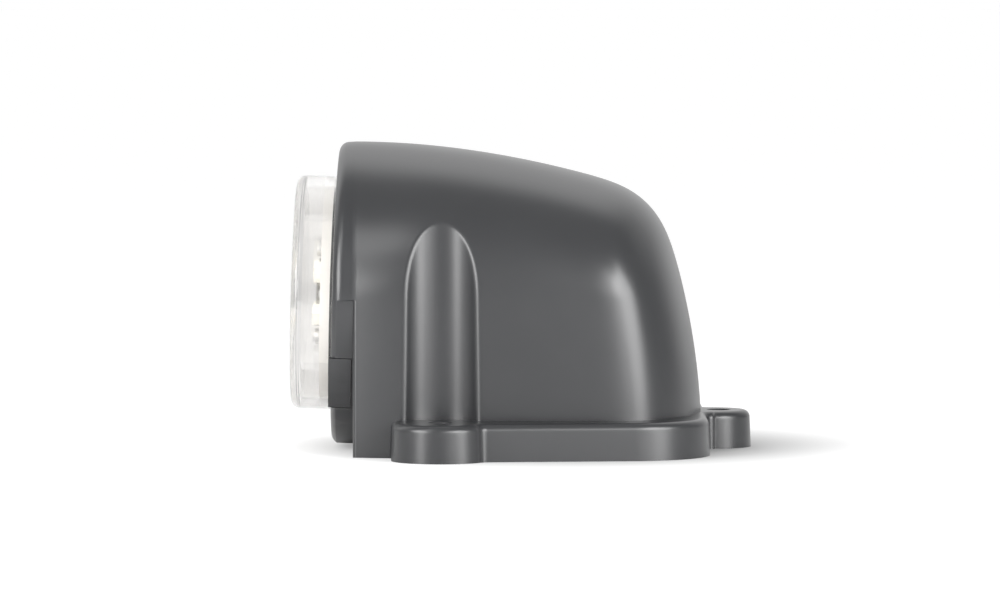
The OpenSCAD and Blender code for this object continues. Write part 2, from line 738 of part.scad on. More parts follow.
// Side of a terminal's foot that faces the other terminal
foot_y = slot_y - blade_t / 2;
module lead(s) {
    on_axis() translate([0, s * lead_y, foot_top]) cylinder(h = board_back - foot_top, r = lead_r);
}
module lead_positive() {
    color("#b3261e") lead(1);
}
module lead_negative() {
    color("#1c1d20") lead(-1);
}
module blade(s) {
    on_axis() difference() {
        union() {
            translate([-blade_w / 2, s * slot_y - blade_t / 2, floor_z - blade_len])
                cube([blade_w, blade_t, blade_len + insert_floor + blade_t]);
            translate([-blade_w / 2, s > 0 ? foot_y : -foot_y - foot_l - blade_t, inside_z])
                cube([blade_w, foot_l + blade_t, blade_t]);
        }
        translate([0, s * slot_y + blade_t, floor_z - blade_len / 2]) rotate([90, 0, 0])
            cylinder(h = 2 * blade_t, r = latch_hole_r);
        for (e = [-1, 1]) translate([e * blade_w / 2, s * slot_y, floor_z - blade_len]) rotate([0, 45, 0])
            cube([tip_cut * sqrt(2), 2 * blade_t, tip_cut * sqrt(2)], center = true);
        translate([0, s * rivet_y, inside_z - over]) cylinder(h = blade_t + 2 * over, r = rivet_r + small_fit);
    }
}
module blade_positive() {
    color("#c8a24a") blade(1);
}
module blade_negative() {
    color("#c8a24a") blade(-1);
}
module blade_rivets() {
    color("#b9bcbf") on_axis() for (s = [-1, 1]) translate([0, s * rivet_y, 0]) {
        translate([0, 0, floor_z - rivet_head]) cylinder(h = rivet_head, r = rivet_head_r);
        translate([0, 0, floor_z - rivet_head]) cylinder(h = insert_floor + blade_t + 2 * rivet_head, r = rivet_r);
        translate([0, 0, foot_top]) cylinder(h = rivet_head, r = rivet_head_r);
    }
}

housing();
lens();
lens_seal();
insert_body();
insert_oring();
reflector();
board();
board_screws();
leds();
led_windows();
driver_chip();
capacitor();
resistors();
solder_joints();
lead_positive();
lead_negative();
blade_positive();
blade_negative();
blade_rivets();
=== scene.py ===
import math

import bpy
import numpy as np
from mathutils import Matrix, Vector
from mathutils.geometry import tessellate_polygon


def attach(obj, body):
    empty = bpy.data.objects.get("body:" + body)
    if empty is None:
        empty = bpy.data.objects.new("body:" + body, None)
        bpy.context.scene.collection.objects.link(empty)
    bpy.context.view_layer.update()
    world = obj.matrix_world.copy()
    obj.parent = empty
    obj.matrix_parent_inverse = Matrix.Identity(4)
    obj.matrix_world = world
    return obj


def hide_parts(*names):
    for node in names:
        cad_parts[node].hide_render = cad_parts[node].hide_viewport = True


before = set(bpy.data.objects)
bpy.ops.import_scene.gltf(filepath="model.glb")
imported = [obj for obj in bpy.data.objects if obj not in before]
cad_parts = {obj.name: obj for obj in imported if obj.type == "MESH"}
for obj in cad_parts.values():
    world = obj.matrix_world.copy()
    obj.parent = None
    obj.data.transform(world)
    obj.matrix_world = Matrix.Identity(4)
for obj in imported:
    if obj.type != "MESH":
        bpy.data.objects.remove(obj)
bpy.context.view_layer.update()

MM = 0.001

# Sizes of the hood moulding in millimetres, the same as in the part's source
# The base lies at z = 0 and the front screws at x = 0, and the cap looks towards -X
# Rim, bore and notches
RIM_R = 32.1
RIM_Z = 32.6
RIM_AHEAD = 22.6
RIM_LEAN = math.radians(1.6)
RIM_ROUND = 2.1
RIM_TOP = RIM_Z + RIM_R
RELIEF = 0.25
BORE_R = 25.1
CORE_R = 29.6
SLEEVE_DEPTH = 9.5
NOTCH_DEEP = 4.5
NOTCH_TOP = -12.1
NOTCH_FOOT = -23.0
# Hood
SKIRT_X = -18.2
REAR_FOOT = 55.0
HOOD_LEN = REAR_FOOT - SKIRT_X
HOOD_HALF = 35.0
WALL = 2.5
RIM_WALL = 2.2
TOP_SKIN = 2.4
DRAFT = math.tan(math.radians(1))
FRONT_HALF = RIM_R + DRAFT * RIM_Z
FLARE_LEN = 20.0
ARCH_FRONT = 2.0
ARCH_MID = 2.25
ROOF_FALL = 14.9
ROOF_POWER = 1.9
TURN_FROM = 26.6
TURN_POWER = 5
REAR_BOW = 8.0
REAR_LEAN = 5.2
LEAN_RISE = 6.2
# Screws, channels and ears
SCREW_Y = 39.5
REAR_SCREW = 58.6
SCREWS = ((0, SCREW_Y), (0, -SCREW_Y), (REAR_SCREW, 0))
HOLE_R = 2.4
CHANNEL_R = 9.0
CHANNEL_ROUND = 1.8
EAR_R = 10.1
EAR_SHIFT = 0.8
EAR_Y = SCREW_Y + EAR_SHIFT
EAR_BLEND = 2.0
EAR_SINK = 0.45
TONGUE_R = 8.2
TONGUE_EDGE = 6.9
TONGUE_X = REAR_SCREW + TONGUE_EDGE - TONGUE_R
TONGUE_BLEND = 1.2
# Flange
FLANGE_H = 7.8
FLANGE_ROUND = 1.5
FLANGE_REAR = 56.1
FLANGE_HALF = 41.9
FLANGE_DRAFT = math.tan(math.radians(2.5))
SIDE_TURN = 84.0
CORNER_R = 18.0
CORNER_X = FLANGE_REAR - CORNER_R
CORNER_Y = FLANGE_HALF - CORNER_R

# Fine mesh: where the skin starts, the bore's broken edge, and lengths and numbers of its steps
SKIN_FOOT = 7.0
MOUTH_EDGE = 0.35
FRONT_STEP = 0.9
CHANNEL_STEP = 0.28
SIDE_STEP = 1.0
LOW_STEPS = 44
HIGH_STEPS = 96
TURN_STEPS = 60
ROUND_STEPS = 8
HALF_STEPS = 96
BESIDE_STEPS = 24
BOTTOM_STEPS = 64
RING_STEPS = 128
# How close a point of the solid counts as on a face, and how far its facets sag within a curve
NEAR = 0.05
SAG = 0.12
QUARTER = math.pi / 2


def ease(t):
    c = np.clip(t, 0, 1)
    return c * c * (3 - 2 * c)


def foot_half(x):
    """Half width of the hood at its foot; it flares from the rim's width to the full one."""
    flare = np.maximum(0, 1 - (x - SKIRT_X) / FLARE_LEN)
    return HOOD_HALF - (HOOD_HALF - FRONT_HALF) * flare ** 2


def skin_value(x, z, s, t):
    """At most 1 within the hood's skin moved inwards by t, at share s of the half width."""
    power = ARCH_FRONT + (ARCH_MID - ARCH_FRONT) * ease((x - SKIRT_X) / FLARE_LEN)
    roof = RIM_TOP - ROOF_FALL * np.maximum(0, (x - SKIRT_X) / HOOD_LEN) ** ROOF_POWER
    rise = np.maximum(0, (z - RIM_Z) / (roof - t - RIM_Z))
    arch = (s ** power + rise ** power) ** (1 / power)
    lean_z = RIM_Z + LEAN_RISE
    c = REAR_LEAN / lean_z ** 2
    rear = REAR_FOOT - np.where(z < lean_z, c * z * z, c * lean_z * (2 * z - lean_z))
    back = rear - t - REAR_BOW * s * s
    turn = np.maximum(0, (x - TURN_FROM) / np.maximum(0.1, back - TURN_FROM))
    return arch ** TURN_POWER + turn ** TURN_POWER


def halve(inside, low, high, rounds=26):
    """Where inside() stops being true on the way from low to high."""
    for _ in range(rounds):
        mid = (low + high) / 2
        ok = inside(mid)
        low = np.where(ok, mid, low)
        high = np.where(ok, high, mid)
    return (low + high) / 2


def skin_half(x, z, t=0.0):
    """Half width at heights z of the skin moved inwards by t."""
    share = halve(lambda s: skin_value(x, z, s, t) <= 1, np.zeros_like(z), np.ones_like(z))
    return share * (foot_half(x) - t - DRAFT * z)


def channelled(w, x):
    """Half width with the rounded channel above the front screw cut in."""
    r, f, a = CHANNEL_R, CHANNEL_ROUND, abs(x)
    far = SCREW_Y - w + f
    dx = np.sqrt(np.maximum(0, (r + f) ** 2 - far * far))
    touch = dx * r / (r + f)
    fillet = w - f + np.sqrt(np.maximum(0, f * f - (a - dx) ** 2))
    floor = SCREW_Y - math.sqrt(max(0, r * r - a * a))
    out = np.where(a >= touch, fillet, floor)
    return np.where((far >= r + f) | (a >= dx), w, out)


def quads(rows, n, start=0, loop=False):
    """Faces between rows of n points each, numbered from start."""
    faces = []
    for i in range(rows - 1):
        a, b = start + i * n, start + (i + 1) * n
        for j in range(n if loop else n - 1):
            k = (j + 1) % n
            faces.append((a + j, a + k, b + k, b + j))
    return faces


class Shell:
    """Collects smooth patches of one moulding; patches meet with sharp edges."""

    def __init__(self):
        self.points, self.faces, self.smooth = [], [], []

    def add(self, points, faces, smooth=True):
        base = len(self.points)
        self.points += [tuple(p) for p in points]
        self.faces += [tuple(i + base for i in f) for f in faces]
        self.smooth += [smooth] * len(faces)

    def grid(self, rows, flip=False, loop=False, smooth=True):
        faces = quads(len(rows), len(rows[0]), loop=loop)
        if flip:
            faces = [f[::-1] for f in faces]
        self.add([p for row in rows for p in row], faces, smooth)

    def flat(self, loops, flip=False):
        """Flat patch inside the first loop and outside the others."""
        points = [p for loop in loops for p in loop]
        faces = []
        for a, b, c in tessellate_polygon([[Vector(p) for p in loop] for loop in loops]):
            corner = Vector(points[a])
            up = (Vector(points[b]) - corner).cross(Vector(points[c]) - corner)
            if up.length > 1e-9:
                faces.append((a, b, c) if (max(up, key=abs) > 0) != flip else (a, c, b))
        self.add(points, faces, False)

    def piece(self, name):
        mesh = bpy.data.meshes.new(name)
        mesh.from_pydata([(x * MM, y * MM, z * MM) for x, y, z in self.points], [], self.faces)
        mesh.polygons.foreach_set("use_smooth", self.smooth)
        mesh.update()
        return place(name, mesh)


def place(name, data):
    """Puts a new object with this mesh, lamp or camera into the scene."""
    obj = bpy.data.objects.new(name, data)
    bpy.context.scene.collection.objects.link(obj)
    return obj


def on_axis(u, y, w):
    """Point at height u above the lens axis, side y, and w ahead of the rim's face."""
    return (-RIM_AHEAD - w * math.cos(RIM_LEAN) + u * math.sin(RIM_LEAN), y,
            RIM_Z + w * math.sin(RIM_LEAN) + u * math.cos(RIM_LEAN))


def arc(cx, cy, r, a0, a1, n):
    """Arc of n steps between two angles in degrees."""
    return [(cx + r * math.cos(math.radians(a0 + (a1 - a0) * i / n)),
             cy + r * math.sin(math.radians(a0 + (a1 - a0) * i / n))) for i in range(n + 1)]


def circle(x, y, r, z, n=64):
    """Level ring of n points."""
    return [(x + r * math.cos(2 * math.pi * i / n), y + r * math.sin(2 * math.pi * i / n), z)
            for i in range(n)]


def spread(a, b, step):
    """Even steps from a on, without b itself."""
    n = max(1, round(abs(b - a) / step))
    return [a + (b - a) * i / n for i in range(n)]


def outline(d):
    """Outline of the flange and its ears, moved inwards by d."""
    tb, eb = TONGUE_BLEND, EAR_BLEND
    # Middle of the blend between the rear tongue and the flange's rear edge, and where it starts
    bx = FLANGE_REAR + tb
    by = math.sqrt((TONGUE_R + tb) ** 2 - (bx - TONGUE_X) ** 2)
    ba = math.degrees(math.atan2(by, bx - TONGUE_X))
    # The flange's side leans; gap is how far the ear's middle lies within it
    c, s = math.cos(math.radians(SIDE_TURN)), math.sin(math.radians(SIDE_TURN))
    gap = CORNER_R + CORNER_X * c - (EAR_Y - CORNER_Y) * s
    fa = SIDE_TURN - math.degrees(math.acos((eb + gap) / (EAR_R + eb)))
    fx = (EAR_R + eb) * math.cos(math.radians(fa))
    fy = EAR_Y + (EAR_R + eb) * math.sin(math.radians(fa))
    # Middle of the blend between the ear and the hood in front of it
    gx = -EAR_R - eb
    gy = float(foot_half(gx)) + eb - EAR_SINK
    half = (arc(TONGUE_X, 0, TONGUE_R - d, 0, ba, 26)
            + arc(bx, by, tb + d, 180 + ba, 180, 14)
            + arc(CORNER_X, CORNER_Y, CORNER_R - d, 0, SIDE_TURN, 30)
            + arc(fx, fy, eb + d, SIDE_TURN - 180, fa - 180, 12)
            + arc(0, EAR_Y, EAR_R - d, fa, 180, 44)
            + arc(gx, gy, eb + d, 0, -90, 12)
            + [(gx, HOOD_HALF - 2 * WALL)])
    return half + [(x, -y) for x, y in half[:0:-1]]


def rim_face():
    """Radii and heights over the rim's face, from the bore's mouth out and round the edge."""
    middle = RIM_R - RIM_ROUND
    profile = [(BORE_R + MOUTH_EDGE, 0), (middle - 0.25, 0)]
    for i in range(ROUND_STEPS + 1):
        b = QUARTER * (1 - i / ROUND_STEPS)
        profile.append((middle + RIM_ROUND * math.cos(b), -RIM_ROUND + RIM_ROUND * math.sin(b)))
    return profile


def hood_skin(shell):
    """Outer face of the hood, from the rim's upper half back to the foot of the rear wall."""
    reach = CHANNEL_R + CHANNEL_ROUND
    slack = 0.003
    behind = REAR_FOOT - REAR_LEAN * (SKIN_FOOT / (RIM_Z + LEAN_RISE)) ** 2 - slack
    stations = (spread(SKIRT_X, -reach, FRONT_STEP) + spread(-reach, reach, CHANNEL_STEP)
                + spread(reach, TURN_FROM, SIDE_STEP)
                + [TURN_FROM + (behind - TURN_FROM) * math.sin(QUARTER * i / TURN_STEPS)
                   for i in range(TURN_STEPS + 1)])
    # Shares of the height, the same at every station; the first row meets the lens axis at LOW_STEPS
    to_axis = RIM_Z - SKIN_FOOT
    heights = ([to_axis * i / LOW_STEPS for i in range(LOW_STEPS)]
               + [to_axis + RIM_R * math.sin(QUARTER * i / HIGH_STEPS) for i in range(HIGH_STEPS + 1)])
    share = np.array(heights) / (RIM_TOP - SKIN_FOOT)
    rows = []
    for x in stations:
        top = halve(lambda z: skin_value(x, z, 0.0, 0.0) <= 1,
                    np.array([SKIN_FOOT]), np.array([RIM_TOP]))[0]
        z = SKIN_FOOT + (top - SKIN_FOOT) * share
        w = channelled(skin_half(np.full_like(z, x), z), x)
        w[-1] = 0
        half = [(x, float(a), float(b)) for a, b in zip(w, z)]
        rows.append(half + [(x, -y, z_) for _, y, z_ in half[-2::-1]])
    # The rim's upper half runs on from the first arch to the rounded front edge
    first = [p for p in rows[0] if p[2] >= RIM_Z - 1e-6]
    columns = []
    for p in first:
        a = math.atan2(p[2] - RIM_Z, p[1])
        ca, sa = math.cos(a), math.sin(a)
        edge = on_axis(RIM_R * sa, RIM_R * ca, -RIM_ROUND)
        columns.append([on_axis(r * sa, r * ca, w) for r, w in rim_face()]
                       + [tuple(e * (1 - t) + q * t for e, q in zip(edge, p)) for t in (0.25, 0.5, 0.75)])
    levels = list(zip(*columns))
    m, n = len(first), len(rows[0])
    points = [q for level in levels for q in level]
    base = len(points)
    points += [q for row in rows for q in row]
    faces = quads(len(levels), m)
    last = base - m
    arch = base + LOW_STEPS
    faces += [(last + j, last + j + 1, arch + j + 1, arch + j) for j in range(m - 1)]
    # Below the lens axis the skin starts one row later, at the skirt's rounded corner
    body = quads(len(rows), n, base)
    faces += body[LOW_STEPS:n - 1 - LOW_STEPS] + body[n - 1:]
    shell.add(points, faces)
    return rows


def skirt_front(shell, rows):
    """Flat front of the skirt with its small rounded corners, around the rim's lower half."""
    corner_x = rows[1][0][0]
    e = corner_x - SKIRT_X
    column = [p for p in rows[1][:LOW_STEPS + 2] if p[2] <= RIM_Z + 0.01]
    column = [(column[0][0], column[0][1] + DRAFT * SKIN_FOOT, 0.0)] + column
    lap = SKIN_FOOT + 0.5
    ear_blend_x = -9.0
    steps = 6
    for side in (1, -1):
        corner = []
        for i in range(steps + 1):
            b = QUARTER * i / steps
            corner.append([(SKIRT_X + e - e * math.sin(b), side * (y - e * (1 - math.cos(b))), z)
                           for _, y, z in column])
        shell.grid(corner, flip=side > 0)
        # Outer face between the foot and the hood's skin, up to the ear's blend
        shell.grid([[(x, side * float(foot_half(x)), 0.0),
                     (x, side * (float(foot_half(x)) - DRAFT * lap), lap)]
                    for x in np.linspace(corner_x, ear_blend_x, 14)], flip=side < 0)
    # The front stops just under the rim's lower half
    edge = [(SKIRT_X, y - e, z) for _, y, z in column]
    rim, drop, steps = RIM_R - RELIEF, 0.12, 90
    ring = [(SKIRT_X, rim * math.cos(math.pi * i / steps), RIM_Z - drop - rim * math.sin(math.pi * i / steps))
            for i in range(steps + 1)]
    shell.flat([edge + ring + [(x, -y, z) for x, y, z in edge[::-1]]], flip=True)
    # Level ledges where the rim's full upper half ends
    face_x = -RIM_AHEAD + 0.4
    for side in (1, -1):
        shell.flat([[(face_x, side * (RIM_R - 1.2), RIM_Z), (face_x, side * (RIM_R - 0.6), RIM_Z),
                     (-RIM_AHEAD + 1.6, side * RIM_R, RIM_Z), (corner_x, side * RIM_R, RIM_Z),
                     (corner_x, side * (RIM_R - 1.5), RIM_Z)]], flip=True)


def rim_front(shell):
    """Bore, lower half of the rim and the two lug notches; angles start at the top."""
    def sector(profile, start, end, n):
        rows = []
        for r, w in profile:
            a, b = start(r), end(r)
            rows.append([on_axis(r * math.cos(a + (b - a) * i / n), r * math.sin(a + (b - a) * i / n), w)
                         for i in range(n + 1)])
        shell.grid(rows, flip=True)

    def at(angle):
        return lambda r: angle

    def notch_top(r):
        return math.acos(NOTCH_TOP / r)

    def other_top(r):
        return -notch_top(r)

    def notch_foot(r):
        return math.acos(NOTCH_FOOT / r)

    def other_foot(r):
        return 2 * math.pi - notch_foot(r)

    def notch_row(side, u, profile):
        return [on_axis(u, side * math.sqrt(r * r - u * u), w) for r, w in profile]

    mouth = [(BORE_R, -MOUTH_EDGE), (BORE_R + 0.1, -0.1), (BORE_R + MOUTH_EDGE, 0)]
    edge_r = RIM_R - RELIEF
    edge_w = -RIM_ROUND + math.sqrt(RIM_ROUND ** 2 - (RIM_ROUND - RELIEF) ** 2)
    lower = mouth[:2] + [p for p in rim_face() if p[0] <= edge_r - 0.02] + [(edge_r, edge_w)]
    # The lower half's side runs back past the notches and into the skirt
    behind = [(edge_r, w) for w in (edge_w, -2.4, -NOTCH_DEEP, -5.2)]
    sector(mouth, at(-QUARTER), at(QUARTER), HALF_STEPS)
    for profile in (lower, behind[:3]):
        sector(profile, at(QUARTER), notch_top, BESIDE_STEPS)
        sector(profile, other_top, at(-QUARTER), BESIDE_STEPS)
        sector(profile, notch_foot, other_foot, BOTTOM_STEPS)
    sector(behind[2:], at(QUARTER), at(3 * QUARTER), HALF_STEPS)
    sector([(BORE_R, -SLEEVE_DEPTH), (BORE_R, -NOTCH_DEEP)], at(0), at(2 * math.pi), RING_STEPS)
    bore = [(BORE_R, -NOTCH_DEEP), (BORE_R, -MOUTH_EDGE)]
    sector(bore, other_top, notch_top, HALF_STEPS)
    sector(bore, notch_foot, other_foot, BOTTOM_STEPS)
    deep = [(r, -NOTCH_DEEP) for r, w in lower]
    for side in (1, -1):
        for u, flip in ((NOTCH_TOP, side < 0), (NOTCH_FOOT, side > 0)):
            shell.grid([notch_row(side, u, lower), notch_row(side, u, deep)], flip=flip, smooth=False)
        shell.grid([notch_row(side, u, (deep[0], deep[-1])) for u in np.linspace(NOTCH_FOOT, NOTCH_TOP, 9)],
                   flip=side < 0, smooth=False)


def flange_skin(shell):
    """Side, rounded edge and top of the flange, with the three screw holes."""
    # Heights with how far the side has moved in there
    straight = FLANGE_H - FLANGE_ROUND
    below = straight - 0.3
    levels = [(0, 0), (0.25, 0.01), (below, FLANGE_DRAFT * below)]
    steps = 10
    for i in range(steps + 1):
        a = QUARTER * i / steps
        levels.append((straight + FLANGE_ROUND * math.sin(a),
                       FLANGE_DRAFT * straight + FLANGE_ROUND * (1 - math.cos(a))))
    levels.append((FLANGE_H, levels[-1][1] + 0.2))
    rows = [[(x, y, z) for x, y in outline(d)] for z, d in levels]
    shell.grid(rows, loop=True)
    # Each hole's rounded edge, as steps wider than the hole and below the flange's top
    edge = ((0.5, 0), (0.35, 0), (0.1, 0.1), (0, 0.35))
    holes = []
    for x, y in SCREWS:
        rings = [circle(x, y, HOLE_R + wider, FLANGE_H - down) for wider, down in edge]
        shell.grid(rings, loop=True)
        shell.grid([rings[-1], circle(x, y, HOLE_R, 0)], loop=True)
        holes.append(rings[0])
    # The top stops a little inside the hood's skin and its channels
    in_skin, in_channel = 1.2, 0.6
    inner = []
    for x in np.linspace(SKIRT_X + 4, REAR_FOOT - WALL, 60):
        y = float(skin_half(np.array([x]), np.array([FLANGE_H]), in_skin)[0])
        inner.append((x, min(y, float(channelled(np.array([y]), x)[0]) - in_channel), FLANGE_H))
    inner += [(x, -y, z) for x, y, z in inner[::-1]]
    shell.flat([rows[-1]] + holes + [inner])


def underside(shell):
    """Takes the hollow underside and the inside of the hood from the solid."""
    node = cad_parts["housing"].data
    points = np.array([v.co[:] for v in node.vertices]) / MM
    x, y, z = points.T
    # Within the flange's side walls, and no higher than its top plate
    ring = np.array(outline(RIM_WALL - 0.15))
    inside = np.zeros(len(points), bool)
    for a, b in zip(ring, np.roll(ring, -1, 0)):
        cross = (a[1] > y) != (b[1] > y)
        with np.errstate(divide="ignore", invalid="ignore"):
            inside ^= cross & (x < (b[0] - a[0]) * (y - a[1]) / (b[1] - a[1]) + a[0])
    low = z < 0.01
    pocket = inside & (z < FLANGE_H - TOP_SKIN + NEAR)
    # Within the hood's cavity, a wall further in than the skin, but for the sag of the solid's facets
    depth = WALL - SAG
    share = np.minimum(1.2, np.abs(y) / np.maximum(0.1, foot_half(x) - depth - DRAFT * z))
    cavity = (skin_value(x, np.maximum(z, 0), share, depth) <= 1) & (x > SKIRT_X + WALL - NEAR)
    # Within the ring-shaped space behind the rim's plate
    up = (z - RIM_Z) * math.cos(RIM_LEAN) + (x + RIM_AHEAD) * math.sin(RIM_LEAN)
    ahead = (z - RIM_Z) * math.sin(RIM_LEAN) - (x + RIM_AHEAD) * math.cos(RIM_LEAN)
    radius = np.hypot(up, y)
    tube = (radius < CORE_R + NEAR) & (radius > BORE_R + NEAR) & (ahead < NEAR - WALL) & (x < 0)
    tube_end = (ahead < -NOTCH_DEEP - NEAR) | (np.abs(ahead + WALL) < NEAR)
    numbers = {}
    faces = []
    for poly in node.polygons:
        v = list(poly.vertices)
        within = low[v].all() or pocket[v].all() or (tube | cavity)[v].all()
        # The notches' own walls come from the fine mesh
        notch = tube[v].all() and not cavity[v].any() and not tube_end[v].any()
        if within and not notch:
            faces.append([numbers.setdefault(i, len(numbers)) for i in v])
    shell.add(points[list(numbers)], faces, False)


def build_housing():
    shell = Shell()
    rows = hood_skin(shell)
    skirt_front(shell, rows)
    rim_front(shell)
    flange_skin(shell)
    underside(shell)
    return shell.piece("hood_moulding")


# Helpers for shader nodes
def add_node(tree, kind, inputs=None, **settings):
    """Adds a node; a socket's value is a constant or another node's output."""
    node = tree.nodes.new("ShaderNode" + kind)
    for key, value in settings.items():
        setattr(node, key, value)
    for key, value in (inputs or {}).items():
        if isinstance(value, bpy.types.NodeSocket):
            tree.links.new(value, node.inputs[key])
        else:
            node.inputs[key].default_value = value
    return node


def calc(tree, operation, a, b):
    return add_node(tree, "Math", {0: a, 1: b}, operation=operation).outputs[0]


def mix_value(tree, factor, low, high):
    return add_node(tree, "MapRange", {"Value": factor, "To Min": low, "To Max": high}).outputs[0]


def ramp(tree, value, start, end, low=0.0, high=1.0):
    """Smooth change from low to high while the value goes from start to end."""
    return add_node(tree, "MapRange", {"Value": value, "From Min": start, "From Max": end,
                                       "To Min": low, "To Max": high},
                    interpolation_type="SMOOTHSTEP").outputs[0]


def rgba(colour):
    return colour if isinstance(colour, bpy.types.NodeSocket) else (*colour, 1)


def two_colours(tree, factor, low, high):
    return add_node(tree, "Mix", {0: factor, 6: rgba(low), 7: rgba(high)}, data_type="RGBA").outputs[2]


def blend_shaders(tree, factor, first, second):
    return add_node(tree, "MixShader", {0: factor, 1: first.outputs[0], 2: second.outputs[0]}).outputs[0]


def new_material(name):
    """Material with a Principled shader; gives the material, its tree and the shader."""
    mat = bpy.data.materials.new(name)
    mat.use_nodes = True
    return mat, mat.node_tree, mat.node_tree.nodes["Principled BSDF"]


# Shader groups shared by several finishes
def group(name, inputs, outputs):
    """Starts a group; gives its tree, the given values, its output sockets and the place on the object."""
    tree = bpy.data.node_groups.new(name, "ShaderNodeTree")
    for label, value in inputs:
        socket = tree.interface.new_socket(label, in_out="INPUT", socket_type="NodeSocketFloat")
        socket.default_value = value
    for label in outputs:
        tree.interface.new_socket(label, in_out="OUTPUT", socket_type="NodeSocketFloat")
    given, out = tree.nodes.new("NodeGroupInput").outputs, tree.nodes.new("NodeGroupOutput").inputs
    return tree, given, out, add_node(tree, "TexCoord").outputs["Object"]


def place_group(tree, source, **values):
    node = tree.nodes.new("ShaderNodeGroup")
    node.node_tree = source
    for key, value in values.items():
        node.inputs[key].default_value = value
    return node


def mould_grain_group():
    """Fine spark-eroded texture of a mould with soft uneven gloss."""
    tree, given, out, spot = group("mould_grain", [("Scale", 2600.0), ("Patch", 60.0)], ["Height", "Gloss"])
    for label, scale, detail, rough in (("Height", "Scale", 3.0, 0.6), ("Gloss", "Patch", 4.0, 0.65)):
        noise = add_node(tree, "TexNoise", {"Vector": spot, "Scale": given[scale],
                                            "Detail": detail, "Roughness": rough})
        tree.links.new(noise.outputs["Fac"], out[label])
    return tree


def dust_group():
    """Mask of a few fine specks."""
    tree, given, out, spot = group("dust_specks", [("Scale", 320.0), ("Share", 0.06), ("Size", 0.05)],
                                   ["Mask"])
    cells = add_node(tree, "TexVoronoi", {"Vector": spot, "Scale": given["Scale"]}, feature="F1")
    pick = add_node(tree, "TexWhiteNoise", {"Vector": cells.outputs["Position"]}, noise_dimensions="3D")
    chosen = calc(tree, "LESS_THAN", pick.outputs["Value"], given["Share"])
    near = calc(tree, "LESS_THAN", cells.outputs["Distance"], given["Size"])
    tree.links.new(calc(tree, "MULTIPLY", chosen, near), out["Mask"])
    return tree


def edge_group():
    """Mask of outward edges, broken up by a noise."""
    tree, given, out, spot = group("edge_wear", [("Low", 0.52), ("High", 0.6), ("Scale", 500.0)], ["Mask"])
    point = add_node(tree, "NewGeometry").outputs["Pointiness"]
    noise = add_node(tree, "TexNoise", {"Vector": spot, "Scale": given["Scale"], "Detail": 2.0})
    edge = add_node(tree, "MapRange", {"Value": point, "From Min": given["Low"], "From Max": given["High"]})
    tree.links.new(calc(tree, "MULTIPLY", edge.outputs[0], noise.outputs["Fac"]), out["Mask"])
    return tree


GRAIN = mould_grain_group()
DUST = dust_group()
EDGE = edge_group()


# Finishes
PATCH_SCALE = 60.0
GRAIN_DEPTH = 0.00002


def connect(tree, shader, base, gloss, lift):
    tree.links.new(base, shader.inputs["Base Color"])
    tree.links.new(gloss, shader.inputs["Roughness"])
    tree.links.new(lift.outputs[0], shader.inputs["Normal"])


def finish(name, colour, other, rough, grain=2600.0, bump=0.1, metal=0.0, dust=0.0,
           speck=(0.6, 0.6, 0.58), wear=None, ior=1.5):
    """Finish with uneven colour and gloss, fine grain, specks of dust and worn edges."""
    mat, tree, shader = new_material(name)
    skin = place_group(tree, GRAIN, Scale=grain, Patch=PATCH_SCALE)
    base = two_colours(tree, skin.outputs["Gloss"], colour, other)
    gloss = mix_value(tree, skin.outputs["Gloss"], *rough)
    if wear:
        edge = place_group(tree, EDGE, Low=0.515, High=0.58, Scale=420.0)
        base = two_colours(tree, edge.outputs["Mask"], base, wear)
    if dust:
        specks = place_group(tree, DUST, Share=dust)
        base = two_colours(tree, specks.outputs["Mask"], base, speck)
    lift = add_node(tree, "Bump", {"Strength": bump, "Distance": GRAIN_DEPTH,
                                   "Height": skin.outputs["Height"]})
    connect(tree, shader, base, gloss, lift)
    shader.inputs["Metallic"].default_value = metal
    shader.inputs["IOR"].default_value = ior
    return mat


def clear_cap():
    """Clear moulded plastic with faint haze; it lets shadow and diffuse rays through."""
    mat, tree, shader = new_material("clear_moulded_cap")
    shader.inputs["Transmission Weight"].default_value = 1.0
    shader.inputs["IOR"].default_value = 1.49
    shader.inputs["Alpha"].default_value = 0.75
    skin = place_group(tree, GRAIN, Scale=900.0, Patch=45.0)
    specks = place_group(tree, DUST, Scale=260.0, Share=0.03, Size=0.04)
    base = two_colours(tree, skin.outputs["Gloss"], (1.0, 0.99, 0.975), (0.98, 0.965, 0.945))
    base = two_colours(tree, specks.outputs["Mask"], base, (0.8, 0.8, 0.78))
    gloss = mix_value(tree, skin.outputs["Gloss"], 0.02, 0.06)
    lift = add_node(tree, "Bump", {"Strength": 0.05, "Distance": 0.0001, "Height": skin.outputs["Gloss"]})
    connect(tree, shader, base, gloss, lift)
    through = add_node(tree, "BsdfTransparent", {"Color": (0.985, 0.975, 0.96, 1)})
    path = add_node(tree, "LightPath").outputs
    passes = calc(tree, "MAXIMUM", path["Is Shadow Ray"], path["Is Diffuse Ray"])
    mixed = blend_shaders(tree, passes, shader, through)
    tree.links.new(mixed, tree.nodes["Material Output"].inputs["Surface"])
    return mat


